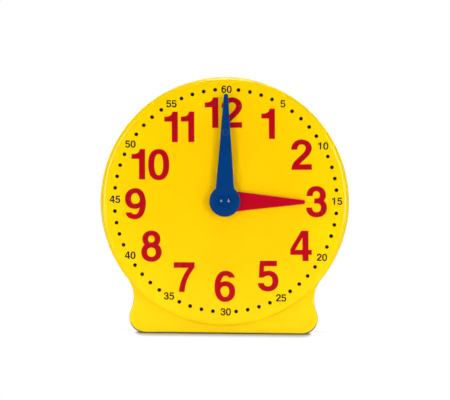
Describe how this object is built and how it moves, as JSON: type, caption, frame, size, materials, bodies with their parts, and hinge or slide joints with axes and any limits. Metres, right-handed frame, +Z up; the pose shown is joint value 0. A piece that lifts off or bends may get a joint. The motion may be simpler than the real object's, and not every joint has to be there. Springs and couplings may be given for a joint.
{
  "type": "geared teaching clock",
  "caption": "Freestanding teaching clock: round dial on a wide foot, geared hour and minute hands, rear setting knob and a fold-down leg.",
  "frame": {"origin": "centre of the flat underside of the foot, where the clock stands on the table", "axes": "+Z up, the dial faces -Y, +X to the right as the dial is read"},
  "size_m": [0.33, 0.1295, 0.341],
  "materials": {
    "yellow_case": "satin moulded",
    "blue_plastic": "satin moulded",
    "red_plastic": "satin moulded",
    "white_gear_plastic": "matte moulded",
    "steel": "bright zinc plated",
    "foot_rubber": "matte"
  },
  "bodies": {
    "case": {"front_shell": "yellow_case", "rear_cover": "yellow_case", "gear_bridge": "white_gear_plastic", "wheel_axle": "steel", "leg_hinge_pin": "steel", "cover_screw_1": "steel", "cover_screw_2": "steel", "cover_screw_3": "steel", "cover_screw_4": "steel", "cover_screw_5": "steel", "cover_screw_6": "steel", "cover_screw_7": "steel", "cover_screw_8": "steel", "bridge_screw_1": "steel", "bridge_screw_2": "steel", "bridge_screw_3": "steel"},
    "minute_train": {"minute_hand": "blue_plastic", "hand_cap": "blue_plastic", "minute_arbor": "steel", "cannon_pinion": "white_gear_plastic", "friction_washer": "steel", "arbor_clip": "steel", "setting_knob": "blue_plastic", "knob_screw": "steel"},
    "hour_train": {"hour_hand": "red_plastic", "hour_wheel": "white_gear_plastic"},
    "transfer_wheel": {"transfer_gear": "white_gear_plastic"},
    "rear_leg": {"easel_leg": "yellow_case", "leg_foot": "foot_rubber"}
  },
  "joints": [
    {"name": "minute_turn", "type": "hinge", "parent": "case", "child": "minute_train", "pos_m": [0, 0, 0.176], "axis": [0, 1, 0], "continuous": true},
    {"name": "hour_turn", "type": "hinge", "parent": "case", "child": "hour_train", "pos_m": [0, 0, 0.176], "axis": [0, 1, 0], "continuous": true},
    {"name": "transfer_turn", "type": "hinge", "parent": "case", "child": "transfer_wheel", "pos_m": [0, 0, 0.221], "axis": [0, 1, 0], "continuous": true},
    {"name": "leg_fold", "type": "hinge", "parent": "case", "child": "rear_leg", "pos_m": [0, 0.009, 0.045], "axis": [1, 0, 0], "range_deg": [0, 116.8]}
  ],
  "couplings": [
    {"joint": "transfer_turn", "follows": "minute_turn", "ratio": -0.33333},
    {"joint": "hour_turn", "follows": "minute_turn", "ratio": 0.083333}
  ]
}
